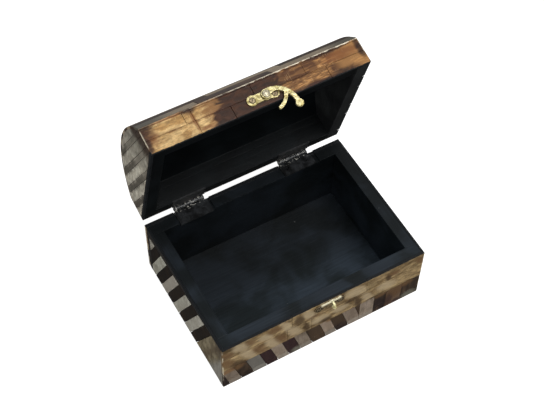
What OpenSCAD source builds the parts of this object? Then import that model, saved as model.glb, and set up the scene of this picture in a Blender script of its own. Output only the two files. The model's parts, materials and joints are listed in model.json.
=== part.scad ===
// Domed wooden gift box for jewelry, faced with bone and horn tiles.
// Origin: centre of the underside of the base. +Z is up, the front faces -Y.
// The lid is drawn open: it turns about the pins of two butt hinges behind the back rim.

/* [Box] */
// Outside width of the box, along X
box_w = 178; // [174:1:190]
// Outside depth of the box, along Y
box_d = 127; // [124:1:140]
// Height of the base, from the table to its rim
base_h = 57; // [54:1:66]
// Height of the straight sides of the lid
lid_side_h = 21.7; // [20:0.1:26]
// Rise of the dome above the straight sides of the lid
dome_rise = 22.2; // [20:0.1:28]
// Gap between the two rims when the lid is closed
rim_gap = 0.4; // [0.3:0.1:0.6]
// Angle of the lid from closed
lid_open = 74.5; // [0:0.5:105]

/* [Boards] */
// Thickness of the wall boards
board_t = 9; // [8:0.5:10]
// Thickness of the floor board
floor_t = 3; // [3:0.5:5]
// Thickness of the curved lid panel
dome_t = 6; // [5:0.5:7]
// Thickness of the bone and horn tiles
tile_t = 2; // [1.5:0.1:2.5]
// Thickness of the thicker planks and tiles on the back of the base
back_tile_t = 3.4; // [2:0.1:3.6]
// Width of the joint between two tiles
joint_w = 0.25; // [0.15:0.05:0.4]

/* [Hinges] */
// Distance of the hinge pins behind the back face
pin_back = 3.55; // [3.2:0.05:4]
// Depth of the hinge pins below the base rim
pin_drop = 0.6; // [0.4:0.1:0.8]
// Outer radius of a knuckle
knuckle_r = 2.5; // [2.3:0.1:2.7]
// Radius of a hinge pin
pin_r = 1.0; // [0.8:0.1:1.2]
// Thickness of a hinge leaf
leaf_t = 1.2; // [1:0.1:1.4]
// Middle of the left hinge, along X
left_hinge_x = -49; // [-55:1:-45]
// Middle of the right hinge, along X
right_hinge_x = 46; // [42:1:52]

/* [Latch] */
// Position of the hook's rivet along X
pivot_x = 4.7; // [3:0.1:7]
// Height of the rivet above the lid rim
pivot_up = 7.7; // [7:0.1:9]
// Thickness of the latch plate
plate_t = 1.2; // [1:0.1:1.4]
// Thickness of the hook
hook_t = 1.7; // [1.4:0.1:1.8]
// Radius of the claw's centre line about the rivet
claw_r = 14.4; // [14:0.1:14.8]

/* [Hidden] */

$fn = 64;

// Outside and inside of the wooden core under the tiles
core_w = box_w - 2 * tile_t;
core_d = box_d - 2 * tile_t;
inner_w = core_w - 2 * board_t;
inner_d = core_d - 2 * board_t;

// Lid, in its closed position
rim_z = base_h + rim_gap;
lid_rail_h = 14;
dome_r = (pow(box_d / 2, 2) + pow(dome_rise, 2)) / (2 * dome_rise);
dome_z = rim_z + lid_side_h + dome_rise - dome_r;
core_r = dome_r - tile_t;
vault_r = core_r - dome_t;
hinge_y = box_d / 2 + pin_back;
hinge_z = base_h - pin_drop;

// Tiles: glue is the gap under the dome slats, tile_low the height of the tiles' feet
glue = 0.05;
tile_low = 0.5;
foot_row_z = 8;
base_row_z = 25;
plank_row_z = 41;
fascia_row = 10.6;
fascia_top_row = 20.1;
slat_count = 13;
slat_angle = asin(box_d / 2 / dome_r);

// Hinges
leaf_len = 29;
leaf_gap = 0.5;
knuckle_len = 26;
knuckle_count = 5;
knuckle_gap = 0.3;
pin_play = 0.05;
leaf_front = inner_d / 2;
leaf_back = hinge_y - knuckle_r - 0.35;

// Screws and nails
screw_r = 1.9;
screw_shank_r = 0.9;
screw_head_t = 0.9;
screw_len = 7;
screw_play = 0.03;
nail_r = 0.7;
nail_head_r = 1.3;
nail_len = 12;

// Latch and catch
pivot_z = rim_z + pivot_up;
plate_front = box_d / 2 + plate_t;
hook_gap = 0.15;
hook_back = plate_front + hook_gap;
hook_front = hook_back + hook_t;
rivet_r = 1.5;
rivet_play = 0.05;
catch_z = base_h - 6.2;
catch_t = 1;
staple_r = 3;
staple_wire = 0.9;
staple_reach = 1;
staple_x = pivot_x + 0.5;
staple_z = pivot_z - claw_r;

// ---- helpers ----

// Turns the lid from its closed position to the angle lid_open
module on_lid() {
    translate([0, hinge_y, hinge_z])
        rotate([-lid_open, 0, 0])
            translate([0, -hinge_y, -hinge_z])
                children();
}

// Stand a flat outline drawn in x and z against the core, growing outwards
module on_front(thickness) {
    translate([0, -core_d / 2, 0]) rotate([90, 0, 0]) linear_extrude(thickness) children();
}
module on_back(thickness) {
    translate([0, core_d / 2, 0]) rotate([90, 0, 180]) linear_extrude(thickness) children();
}
module on_left(thickness) {
    translate([-core_w / 2, 0, 0]) rotate([90, 0, -90]) linear_extrude(thickness) children();
}
module on_right(thickness) {
    translate([core_w / 2, 0, 0]) rotate([90, 0, 90]) linear_extrude(thickness) children();
}

// Extrude an outline drawn in y and z along x, from x0 to x1
module along_x(x0, x1) {
    translate([x0, 0, 0]) rotate([90, 0, 90]) linear_extrude(x1 - x0) children();
}

// One tile between two slanted edges; the edges move by lean for each mm downwards
module slanted_tile(edge0, edge1, low, high, lean) {
    drop = (high - low) * lean;
    half = joint_w / 2;
    polygon([
        [edge0 + half, high], [edge1 - half, high],
        [edge1 - half + drop, low], [edge0 + half + drop, low]
    ]);
}

// Every second tile of a band whose upper edges are listed, cut to the band's ends
module slanted_band(edges, left, right, low, high, lean, parity) {
    for (i = [parity : 2 : len(edges) - 2])
        intersection() {
            slanted_tile(edges[i], edges[i + 1], low, high, lean);
            translate([left, low]) square([right - left, high - low]);
        }
}

// A row of upright planks between the listed joints
module plank_row(joints, low, high, parity = 0, step = 1) {
    for (i = [parity : step : len(joints) - 2])
        translate([joints[i] + joint_w / 2, low + joint_w / 2])
            square([joints[i + 1] - joints[i] - joint_w, high - low - joint_w]);
}

// A countersunk wood screw along -Z with its head's top at z = 0
module screw(play = 0) {
    translate([0, 0, -screw_head_t])
        cylinder(h = screw_head_t, r1 = screw_shank_r + play, r2 = screw_r + play);
    translate([0, 0, -screw_len - play])
        cylinder(h = screw_len - screw_head_t + play, r = screw_shank_r + play);
}

// The hole that a screw sits in, open above the head
module screw_hole() {
    screw(screw_play);
    translate([0, 0, -0.01])
        cylinder(h = 1, r = screw_r + screw_play);
}

// A screw with a slot cut across its head
module slotted_screw(slot_turn) {
    difference() {
        screw();
        rotate([0, 0, slot_turn])
            translate([-screw_r - 1, -0.25, -0.35])
                cube([2 * screw_r + 2, 0.5, 1]);
    }
}

// ---- base carcase ----

floor_nail_x = core_w / 2 - board_t / 2;
floor_nail_y = core_d / 2 - board_t / 2;

module floor_nail_places() {
    for (x = [-1, -1 / 3, 1 / 3, 1])
        for (side = [-1, 1])
            translate([x * floor_nail_x, side * floor_nail_y, 0])
                children();
}

module floor_nail(play = 0) {
    translate([0, 0, 0.2])
        cylinder(h = 0.8, r = nail_head_r + play);
    translate([0, 0, 0.5])
        cylinder(h = nail_len + play, r = nail_r + play);
}

module base_floor() {
    color("#3a3f42")
        difference() {
            translate([-core_w / 2, -core_d / 2, 0]) cube([core_w, core_d, floor_t]);
            floor_nail_places() {
                floor_nail(screw_play);
                translate([0, 0, -1]) cylinder(h = 1.5, r = nail_head_r + screw_play);
            }
        }
}

module base_floor_nails() {
    color("#8a8d90") floor_nail_places() floor_nail();
}

module wall(x, y, width, depth) {
    color("#3a3f42")
        translate([x - width / 2, y - depth / 2, floor_t])
            cube([width, depth, base_h - floor_t]);
}

module base_front_wall() {
    difference() {
        wall(0, -(core_d - board_t) / 2, core_w, board_t);
        floor_nail_places() floor_nail(screw_play);
        catch_screw_places() screw_hole();
        staple_legs(screw_play);
    }
}

module base_back_wall() {
    difference() {
        wall(0, (core_d - board_t) / 2, core_w, board_t);
        floor_nail_places() floor_nail(screw_play);
        base_mortises();
        hinge_screw_places() base_screw_pose() screw_hole();
    }
}

module base_left_wall() {
    wall(-(core_w - board_t) / 2, 0, board_t, inner_d);
}

module base_right_wall() {
    wall((core_w - board_t) / 2, 0, board_t, inner_d);
}

// ---- base tiles ----

front_top_joints = [-box_w / 2, -29.4, -9, 37, box_w / 2];
front_mid_joints = [-box_w / 2, -33, -12, 26, box_w / 2];
front_edges = [-100, -90, -79.7, -69, -57.5, -47.5, -37.5, -27, -16.5, -4, 5.5, 16.5, 28, 40];
front_lean = 0.3;
upright_joints = [33, 46.3, 57.5, 72, box_w / 2];
side_pitch = 10.15;
side_first = -side_pitch * 6 + 6.8;
side_edges = [for (i = [-1 : 10]) side_first + i * side_pitch];
side_lean = -0.51;
side_corner_w = 4;
side_back_z = 48;
side_front_z = 55;

module front_planks_outline() {
    plank_row(front_top_joints, plank_row_z, base_h);
    plank_row(front_mid_joints, base_row_z, plank_row_z);
}

// Slanted tiles up to the first upright one, then upright tiles to the right end
module front_strips_outline(parity) {
    foot_joint()
        union() {
            slanted_band(front_edges, -box_w / 2 + joint_w / 2, upright_joints[0] - joint_w / 2,
                tile_low, base_row_z - joint_w / 2, front_lean, parity);
            plank_row(upright_joints, tile_low - joint_w / 2, base_row_z, 1 - parity, 2);
        }
}

// Splits a band of tiles into an upper row and a thin foot row
module foot_joint() {
    difference() {
        children();
        translate([-box_w, foot_row_z - joint_w / 2]) square([2 * box_w, joint_w]);
    }
}

module base_front_planks() {
    color("#b39d77")
        difference() {
            on_front(tile_t) front_planks_outline();
            catch_screw_places() screw_hole();
            staple_legs(screw_play);
        }
}
module base_front_light_tiles() {
    color("#a79c8c") on_front(tile_t) front_strips_outline(1);
}
module base_front_dark_tiles() {
    color("#4c4034") on_front(tile_t) front_strips_outline(0);
}

// One side of the base, drawn with the front towards +x: slanted strips and a corner plank
// under a dark edging that is taller at the back
module side_strips_outline(parity) {
    intersection() {
        union() {
            slanted_band(side_edges, -core_d / 2, core_d / 2, tile_low, base_h, side_lean, parity);
            if (parity == 1) {
                slanted_tile(side_edges[11], core_d, tile_low, base_h, side_lean);
            }
        }
        polygon([
            [-core_d / 2 + side_corner_w, tile_low], [core_d / 2, tile_low],
            [core_d / 2, side_front_z], [-core_d / 2 + side_corner_w, side_back_z]
        ]);
    }
}
module side_edging_outline() {
    polygon([
        [-core_d / 2, tile_low], [-core_d / 2 + side_corner_w - joint_w, tile_low],
        [-core_d / 2 + side_corner_w - joint_w, side_back_z + joint_w],
        [core_d / 2, side_front_z + joint_w], [core_d / 2, base_h], [-core_d / 2, base_h]
    ]);
}

module base_left_light_tiles() {
    color("#a39c92") on_left(tile_t) side_strips_outline(1);
}
module base_left_dark_tiles() {
    color("#40382f") on_left(tile_t) side_strips_outline(0);
}
module base_left_edging() {
    color("#2c2d2d") on_left(tile_t) side_edging_outline();
}
module base_right_light_tiles() {
    color("#a39c92") on_right(tile_t) side_strips_outline(1);
}
module base_right_dark_tiles() {
    color("#40382f") on_right(tile_t) side_strips_outline(0);
}
module base_right_edging() {
    color("#2c2d2d") on_right(tile_t) side_edging_outline();
}

module base_back_planks() {
    color("#b39d77")
        difference() {
            on_back(back_tile_t) front_planks_outline();
            base_mortises();
            knuckle_recesses();
        }
}
// The back's lower band has slanted tiles of even width
back_pitch = 10.4;
back_edges = [for (i = [-10 : 9]) i * back_pitch];
module back_strips_outline(parity) {
    slanted_band(back_edges, -box_w / 2 + joint_w / 2, box_w / 2 - joint_w / 2, tile_low,
        base_row_z - joint_w / 2, front_lean, parity);
}
module base_back_light_tiles() {
    color("#a79c8c") on_back(back_tile_t) back_strips_outline(1);
}
module base_back_dark_tiles() {
    color("#4c4034") on_back(back_tile_t) back_strips_outline(0);
}

// ---- hinges ----

// Puts a hinge at each of its two places
module hinge_places() {
    for (x = [left_hinge_x, right_hinge_x])
        translate([x, 0, 0]) children();
}

// Hand-cut mortises in the base: each is longer than its leaf towards +X
module base_mortises() {
    mortise(left_hinge_x, 2);
    mortise(right_hinge_x, 3.5);
}
module mortise(x, spare) {
    translate([x - leaf_len / 2 - leaf_gap, inner_d / 2 - 1, base_h - leaf_t - 0.02])
        cube([leaf_len + leaf_gap + spare, board_t + back_tile_t + 2, leaf_t + 1]);
}
// Round recesses in the back planks, clear of the knuckles
module knuckle_recesses() {
    hinge_places()
        translate([-knuckle_len / 2 - 0.8, hinge_y, hinge_z])
            rotate([0, 90, 0])
                cylinder(h = knuckle_len + 1.6, r = knuckle_r + 0.35);
}
module lid_mortises() {
    hinge_places()
        translate([-leaf_len / 2 - leaf_gap, inner_d / 2 - 1, rim_z - 1])
            cube([leaf_len + 2 * leaf_gap, board_t + tile_t + 2, leaf_t + 1.02]);
}

// Knuckle number i of one hinge, counted from -X
knuckle_pitch = knuckle_len / knuckle_count;
module knuckle(i) {
    translate([-knuckle_len / 2 + i * knuckle_pitch + knuckle_gap / 2, hinge_y, hinge_z])
        rotate([0, 90, 0])
            cylinder(h = knuckle_pitch - knuckle_gap, r = knuckle_r);
}
// The strip of leaf that runs into knuckle number i
module leaf_arm(i, low) {
    translate([-knuckle_len / 2 + i * knuckle_pitch + knuckle_gap / 2, leaf_back - 0.5, low])
        cube([knuckle_pitch - knuckle_gap, hinge_y - leaf_back, leaf_t]);
}
module pin_bore(radius) {
    translate([-knuckle_len, hinge_y, hinge_z])
        rotate([0, 90, 0])
            cylinder(h = 2 * knuckle_len, r = radius);
}

screw_y = (leaf_front + leaf_back) / 2;
module hinge_screw_places() {
    hinge_places() leaf_screw_places() children();
}
module leaf_screw_places() {
    for (side = [-1, 1])
        translate([side * leaf_len * 0.3, screw_y, 0]) children();
}
module base_screw_pose() {
    translate([0, 0, base_h - 0.02]) children();
}
module lid_screw_pose() {
    translate([0, 0, rim_z + 0.02]) rotate([180, 0, 0]) children();
}

module base_leaf(proud) {
    difference() {
        union() {
            translate([-leaf_len / 2, leaf_front - proud, base_h - leaf_t])
                cube([leaf_len, leaf_back - leaf_front + proud, leaf_t]);
            for (i = [0 : 2 : knuckle_count - 1]) {
                knuckle(i);
                leaf_arm(i, base_h - leaf_t);
            }
        }
        pin_bore(pin_r);
        leaf_screw_places() base_screw_pose() screw_hole();
    }
}
module lid_leaf() {
    difference() {
        union() {
            translate([-leaf_len / 2, leaf_front, rim_z])
                cube([leaf_len, leaf_back - leaf_front, leaf_t]);
            for (i = [1 : 2 : knuckle_count - 1]) {
                knuckle(i);
                leaf_arm(i, rim_z);
            }
        }
        pin_bore(pin_r + pin_play);
        leaf_screw_places() lid_screw_pose() screw_hole();
    }
}
module hinge_pin() {
    translate([-knuckle_len / 2 - 0.4, hinge_y, hinge_z])
        rotate([0, 90, 0])
            cylinder(h = knuckle_len + 0.8, r = pin_r);
}

module left_hinge_base_leaf() {
    color("#34383a") translate([left_hinge_x, 0, 0]) base_leaf(1.5);
}
module right_hinge_base_leaf() {
    color("#34383a") translate([right_hinge_x, 0, 0]) base_leaf(0);
}
module left_hinge_pin() {
    color("#55595b") translate([left_hinge_x, 0, 0]) hinge_pin();
}
module right_hinge_pin() {
    color("#55595b") translate([right_hinge_x, 0, 0]) hinge_pin();
}
module hinge_base_screws() {
    color("#3c4042") hinge_screw_places() base_screw_pose() slotted_screw(35);
}
module left_hinge_lid_leaf() {
    color("#34383a") on_lid() translate([left_hinge_x, 0, 0]) lid_leaf();
}
module right_hinge_lid_leaf() {
    color("#34383a") on_lid() translate([right_hinge_x, 0, 0]) lid_leaf();
}
module hinge_lid_screws() {
    color("#3c4042") on_lid() hinge_screw_places() lid_screw_pose() slotted_screw(-20);
}

// ---- lid carcase ----

// Cross-section of the curved panel with its two straight skirts
module dome_outline() {
    intersection() {
        difference() {
            translate([0, dome_z]) circle(r = core_r, $fn = 180);
            intersection() {
                translate([0, dome_z]) circle(r = vault_r, $fn = 180);
                translate([-inner_d / 2, 0]) square([inner_d, 3 * base_h]);
            }
        }
        translate([-core_d / 2, rim_z + lid_rail_h]) square([core_d, base_h]);
    }
}

// Cross-section of an end board, which the curved panel sits on
module end_outline() {
    translate([-core_d / 2, rim_z]) square([core_d, lid_rail_h]);
    intersection() {
        translate([0, dome_z]) circle(r = vault_r, $fn = 180);
        translate([-inner_d / 2, rim_z + lid_rail_h - 1]) square([inner_d, base_h]);
    }
}

module lid_rail(side) {
    translate([-inner_w / 2, side * (core_d - board_t) / 2 - board_t / 2, rim_z])
        cube([inner_w, board_t, lid_rail_h]);
}

module lid_front_rail() {
    color("#3a3f42") on_lid()
        difference() {
            lid_rail(-1);
            latch_screw_places() screw_hole();
            rivet_bore(rivet_r + screw_play);
        }
}
module lid_back_rail() {
    color("#3a3f42") on_lid()
        difference() {
            lid_rail(1);
            lid_mortises();
            hinge_screw_places() lid_screw_pose() screw_hole();
        }
}
module lid_left_end() {
    color("#3a3f42") on_lid() along_x(-core_w / 2, -inner_w / 2) end_outline();
}
module lid_right_end() {
    color("#3a3f42") on_lid() along_x(inner_w / 2, core_w / 2) end_outline();
}
module lid_dome_panel() {
    color("#3a3f42") on_lid() along_x(-core_w / 2, core_w / 2) dome_outline();
}

// ---- lid tiles ----

fascia_low_joints = [-box_w / 2, -49.5, -22, 18, 56, box_w / 2];
fascia_mid_joints = [-box_w / 2, -56.2, -49.7, -2, 40, box_w / 2];
fascia_top_joints = [-box_w / 2, -50, 10, 60, box_w / 2];

// Two full rows and a thin one; the upper edge meets the lowest dome slat
module fascia_outline(parity) {
    translate([0, rim_z]) {
        plank_row(fascia_low_joints, 0, fascia_row, parity, 2);
        plank_row(fascia_mid_joints, fascia_row, fascia_top_row, 1 - parity, 2);
        plank_row(fascia_top_joints, fascia_top_row, lid_side_h, parity, 2);
    }
}

module lid_front_light_planks() {
    color("#c8a974") on_lid()
        difference() {
            on_front(tile_t) fascia_outline(0);
            latch_bores();
        }
}
module lid_front_dark_planks() {
    color("#8a6a48") on_lid()
        difference() {
            on_front(tile_t) fascia_outline(1);
            latch_bores();
        }
}
module latch_bores() {
    latch_screw_places() screw_hole();
    rivet_bore(rivet_r + screw_play);
}
module lid_back_light_planks() {
    color("#c8a974") on_lid()
        difference() {
            on_back(tile_t) fascia_outline(0);
            lid_mortises();
        }
}
module lid_back_dark_planks() {
    color("#8a6a48") on_lid()
        difference() {
            on_back(tile_t) fascia_outline(1);
            lid_mortises();
        }
}

// Slanted tiles of a lid end; the outline is drawn with the front towards -x
end_tilt = 16;
end_light_w = 8.4;
end_dark_w = 4.6;
end_pitch = end_light_w + end_dark_w;
module end_face_outline() {
    intersection() {
        translate([0, dome_z]) circle(r = core_r, $fn = 180);
        translate([-core_d / 2, rim_z + joint_w / 2]) square([core_d, base_h]);
    }
}
module end_tiles_outline(first, width) {
    intersection() {
        end_face_outline();
        translate([0, rim_z - 1.5]) rotate([0, 0, end_tilt])
            for (i = [-3 : 4])
                translate([-box_d, first + i * end_pitch + joint_w / 2])
                    square([2 * box_d, width - joint_w]);
    }
}
module lid_end_tiles(side, first, width) {
    x0 = side > 0 ? core_w / 2 : -core_w / 2 - tile_t;
    along_x(x0, x0 + tile_t) end_tiles_outline(first, width);
}
module lid_left_light_tiles() {
    color("#a6a196") on_lid() lid_end_tiles(-1, 0, end_light_w);
}
module lid_left_dark_tiles() {
    color("#5a5248") on_lid() lid_end_tiles(-1, end_light_w, end_dark_w);
}
module lid_right_light_tiles() {
    color("#a6a196") on_lid() lid_end_tiles(1, 0, end_light_w);
}
module lid_right_dark_tiles() {
    color("#5a5248") on_lid() lid_end_tiles(1, end_light_w, end_dark_w);
}

// Cross-section of dome slat number i, counted from the front
slat_step = 2 * slat_angle / slat_count;
slat_joint = joint_w / dome_r * 90 / PI;
slat_foot = rim_z + lid_side_h + joint_w / 2 - dome_z;
module slat_outline(i) {
    from = -slat_angle + i * slat_step + slat_joint;
    to = -slat_angle + (i + 1) * slat_step - slat_joint;
    reach = 1.2 * dome_r;
    translate([0, dome_z])
        intersection() {
            difference() {
                circle(r = dome_r, $fn = 180);
                circle(r = core_r + glue, $fn = 180);
            }
            polygon([[0, 0], reach * [sin(from), cos(from)], reach * [sin(to), cos(to)]]);
            translate([-box_d, slat_foot]) square([2 * box_d, dome_r]);
        }
}

// Each slat is three tiles; the joints are staggered from row to row
module dome_slats(parity) {
    for (i = [0 : slat_count - 1]) {
        shift = i % 3 * 11 - 11;
        joints = [-box_w / 2, shift - 31, shift + 29, box_w / 2];
        for (j = [0 : 2])
            if ((i + j) % 2 == parity)
                along_x(joints[j] + joint_w / 2, joints[j + 1] - joint_w / 2) slat_outline(i);
    }
}
module lid_dome_light_slats() {
    color("#b5a684") on_lid() dome_slats(0);
}
module lid_dome_dark_slats() {
    color("#6b5a45") on_lid() dome_slats(1);
}

// ---- latch on the lid ----

// Fills the inner corners of an outline with a radius
module soften(radius) {
    offset(r = -radius) offset(r = radius) children();
}

// Outlines drawn in x and z with the rivet at the origin, facing the front
module at_pivot(back, thickness) {
    translate([pivot_x, -back, pivot_z]) rotate([90, 0, 0]) linear_extrude(thickness) children();
}

latch_left = [-11, -0.3];
latch_right = [6.7, -1.5];
latch_lobe_r = 4.1;
latch_tip_r = 3.3;
latch_waist = 3.3;
module latch_plate_outline() {
    soften(1.5) {
        circle(r = latch_lobe_r);
        translate(latch_left) circle(r = latch_lobe_r);
        translate(latch_right) circle(r = latch_tip_r);
        polygon([
            latch_left + [0, latch_waist], [0, latch_waist], latch_right + [0, latch_waist],
            latch_right - [0, latch_waist], [0, -latch_waist], latch_left - [0, latch_waist]
        ]);
    }
}

module latch_screw_places() {
    for (place = [latch_left, latch_right])
        translate([pivot_x + place[0], -plate_front, pivot_z + place[1]])
            rotate([90, 0, 0]) children();
}
module rivet_bore(radius) {
    translate([pivot_x, -plate_front - 1, pivot_z])
        rotate([-90, 0, 0]) cylinder(h = plate_t + tile_t + 5, r = radius);
}

module latch_plate() {
    color("#c9b878") on_lid()
        difference() {
            at_pivot(box_d / 2, plate_t) latch_plate_outline();
            latch_bores();
        }
}
module latch_screws() {
    color("#b5a568") on_lid() latch_screw_places() slotted_screw(50);
}

// The rivet runs through hook and plate into the rail, under a low domed head
rivet_tail = 5;
rivet_head_r = 2.6;
rivet_head_t = 0.9;
rivet_len = hook_front + hook_gap - box_d / 2 + rivet_tail;
module latch_rivet() {
    head_r = (pow(rivet_head_r, 2) + pow(rivet_head_t, 2)) / (2 * rivet_head_t);
    color("#ded0a0") on_lid()
        translate([pivot_x, -hook_front - hook_gap, pivot_z]) rotate([90, 0, 0]) {
            translate([0, 0, -rivet_len])
                cylinder(h = rivet_len, r = rivet_r);
            intersection() {
                translate([0, 0, rivet_head_t - head_r]) sphere(r = head_r, $fn = 96);
                cylinder(h = 2 * rivet_head_t, r = rivet_head_r);
            }
        }
}

// The hook is an arm curling over the plate to a drop-shaped grip, with a claw below it
arm_centre = [2.65, -13.74];
arm_r = 16.05;
arm_w = 3.1;
arm_from = -8;
arm_to = 102;
grip_r = 2.9;
boss_r = 3.5;
claw_w = 2.5;
claw_from = -71;
claw_to = -4;
module ring_sector(radius, width, from, to) {
    middle = (from + to) / 2;
    half = (to - from) / 2;
    reach = 2 * radius;
    intersection() {
        difference() {
            circle(r = radius + width / 2, $fn = 128);
            circle(r = radius - width / 2, $fn = 128);
        }
        polygon([
            [0, 0], reach * [cos(from), sin(from)], reach * [cos(middle), sin(middle)],
            reach * [cos(to), sin(to)]
        ]);
    }
    if (half > 0)
        translate(radius * [cos(from), sin(from)]) circle(r = width / 2);
}
module latch_hook_outline() {
    soften(0.8) {
        circle(r = boss_r);
        translate(arm_centre) ring_sector(arm_r, arm_w, arm_from, arm_to);
        translate(arm_centre + (arm_r + 0.4) * [cos(arm_from), sin(arm_from)]) circle(r = grip_r);
        ring_sector(claw_r, claw_w, claw_from, claw_to);
        polygon([[1, 3.2], [9, 2.2], [8, -0.2], [3, -1]]);
    }
}
module latch_hook() {
    color("#d6c88f") on_lid()
        difference() {
            at_pivot(hook_back, hook_t) latch_hook_outline();
            translate([pivot_x, -hook_back + 1, pivot_z])
                rotate([90, 0, 0]) cylinder(h = hook_t + 2, r = rivet_r + rivet_play);
        }
}

// ---- catch on the base ----

// The plate's two screws lie unevenly about the staple, as on the latch plate above it
catch_screws_x = [-11.8, 7];
catch_lobe_r = 3.9;
module at_catch(thickness) {
    translate([staple_x, -box_d / 2, catch_z]) rotate([90, 0, 0]) linear_extrude(thickness) children();
}
module catch_screw_places() {
    for (x = catch_screws_x)
        translate([staple_x + x, -box_d / 2 - catch_t, catch_z])
            rotate([90, 0, 0]) children();
}
module catch_plate_outline() {
    for (x = catch_screws_x)
        translate([x, 0]) circle(r = catch_lobe_r);
    translate([catch_screws_x[0], -3.1]) square([catch_screws_x[1] - catch_screws_x[0], 6.2]);
    circle(r = catch_lobe_r + 0.4);
}
module catch_plate() {
    color("#c9b878")
        difference() {
            at_catch(catch_t) catch_plate_outline();
            catch_screw_places() screw_hole();
            staple_legs(screw_play);
        }
}
module catch_screws() {
    color("#b5a568") catch_screw_places() slotted_screw(70);
}

// The staple's two legs run through plate and tile into the wall; its bow stands out in front
module staple_legs(play = 0) {
    for (side = [-1, 1])
        translate([staple_x, -box_d / 2 - catch_t - staple_reach, staple_z + side * staple_r])
            rotate([-90, 0, 0])
                cylinder(h = catch_t + staple_reach + tile_t + 5 + play, r = staple_wire + play);
}
module catch_staple() {
    color("#ded0a0") {
        staple_legs();
        translate([staple_x, -box_d / 2 - catch_t - staple_reach, staple_z])
            rotate([0, -90, 0]) rotate([0, 0, 180])
                rotate_extrude(angle = 180, $fn = 96)
                    translate([staple_r, 0]) circle(r = staple_wire);
    }
}

// ---- drawing ----

base_floor();
base_floor_nails();
base_front_wall();
base_back_wall();
base_left_wall();
base_right_wall();
base_front_planks();
base_front_light_tiles();
base_front_dark_tiles();
base_left_light_tiles();
base_left_dark_tiles();
base_left_edging();
base_right_light_tiles();
base_right_dark_tiles();
base_right_edging();
base_back_planks();
base_back_light_tiles();
base_back_dark_tiles();
catch_plate();
catch_staple();
catch_screws();
left_hinge_base_leaf();
right_hinge_base_leaf();
left_hinge_pin();
right_hinge_pin();
hinge_base_screws();
lid_front_rail();
lid_back_rail();
lid_left_end();
lid_right_end();
lid_dome_panel();
lid_front_light_planks();
lid_front_dark_planks();
lid_back_light_planks();
lid_back_dark_planks();
lid_left_light_tiles();
lid_left_dark_tiles();
lid_right_light_tiles();
lid_right_dark_tiles();
lid_dome_light_slats();
lid_dome_dark_slats();
left_hinge_lid_leaf();
right_hinge_lid_leaf();
hinge_lid_screws();
latch_plate();
latch_screws();
latch_rivet();
latch_hook();
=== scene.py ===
"""Looks for the domed gift box for jewelry: bone and horn tiles on black-painted wood."""

import json
import math
import random
from functools import cached_property

import bmesh
import bpy
from mathutils import Matrix, Vector


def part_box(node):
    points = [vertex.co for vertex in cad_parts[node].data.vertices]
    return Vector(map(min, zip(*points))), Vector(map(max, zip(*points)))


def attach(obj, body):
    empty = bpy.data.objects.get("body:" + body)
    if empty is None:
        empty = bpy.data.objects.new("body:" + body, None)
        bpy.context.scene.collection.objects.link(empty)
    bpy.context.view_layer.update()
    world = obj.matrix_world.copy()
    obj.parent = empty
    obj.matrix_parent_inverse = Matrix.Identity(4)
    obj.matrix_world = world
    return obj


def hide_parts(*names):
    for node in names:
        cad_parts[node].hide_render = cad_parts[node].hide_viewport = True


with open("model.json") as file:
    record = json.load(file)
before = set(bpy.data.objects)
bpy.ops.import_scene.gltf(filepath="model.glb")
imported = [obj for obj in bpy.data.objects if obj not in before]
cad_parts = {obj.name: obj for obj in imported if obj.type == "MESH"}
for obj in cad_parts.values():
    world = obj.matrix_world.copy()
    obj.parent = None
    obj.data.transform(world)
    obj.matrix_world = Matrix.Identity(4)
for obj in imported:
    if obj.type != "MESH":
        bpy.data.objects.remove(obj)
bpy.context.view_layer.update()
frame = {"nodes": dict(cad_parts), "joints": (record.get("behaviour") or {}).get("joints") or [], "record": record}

MM = 0.001
NODES = frame["nodes"]
BODY_OF = {node: body for body, members in frame["record"]["behaviour"]["bodies"].items()
           for node in members}
LID_JOINT = next(joint for joint in frame["joints"] if joint["name"] == "lid_hinge")
HINGE = Vector(LID_JOINT["pos_m"])
CLOSING = Matrix.Rotation(math.radians(-LID_JOINT["range_deg"][0]), 4, "X")

# The base's rim, and how far the tiles' faces at the sides and in front are from the middle.
RIM_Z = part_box("base_front_wall")[1].z
HALF_WIDTH = 89 * MM
HALF_DEPTH = 63.5 * MM


def closed_place(point, node):
    """Where a point of a node is when the lid is closed."""
    if BODY_OF[node] == "base":
        return point.copy()
    return HINGE + CLOSING @ (point - HINGE)


def opened_place(point, node):
    """Where a point of a node is as the part stands, from its place when the lid is closed."""
    if BODY_OF[node] == "base":
        return point.copy()
    return HINGE + CLOSING.inverted() @ (point - HINGE)


def closed_box(points, node):
    """The lowest and highest corner of some of a node's points when the lid is closed."""
    closed = [closed_place(point, node) for point in points]
    return (Vector([min(point[i] for point in closed) for i in range(3)]),
            Vector([max(point[i] for point in closed) for i in range(3)]))


# The upper edge of the planks on the lid's front.
FASCIA_TOP = closed_box([vert.co for vert in NODES["lid_front_light_planks"].data.vertices],
                        "lid_front_light_planks")[1].z


# ---- camera ----

def aim_camera():
    """The photograph's viewing angle: from the front left, looking down."""
    azimuth = math.radians(-30.7727)
    elevation = math.radians(54.7081)
    roll = math.radians(1.43908)
    back = Vector((math.sin(azimuth) * math.cos(elevation),
                   -math.cos(azimuth) * math.cos(elevation), math.sin(elevation)))
    right = Vector((0, 0, 1)).cross(back).normalized()
    up = back.cross(right)
    right, up = (math.cos(roll) * right + math.sin(roll) * up,
                 math.cos(roll) * up - math.sin(roll) * right)
    away, aside, above = 5.47920, -0.0485878, 0.3396144  # in widths of the box
    place = (away * back + aside * right + above * up) * 2 * HALF_WIDTH
    data = bpy.data.cameras.new("camera")
    data.lens = 79.033
    data.sensor_width = 36
    data.clip_start = 0.01
    camera = bpy.data.objects.new("camera", data)
    turn = Matrix((right, up, back)).transposed().to_4x4()
    camera.matrix_world = Matrix.Translation(place) @ turn
    bpy.context.scene.collection.objects.link(camera)
    bpy.context.scene.camera = camera


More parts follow.
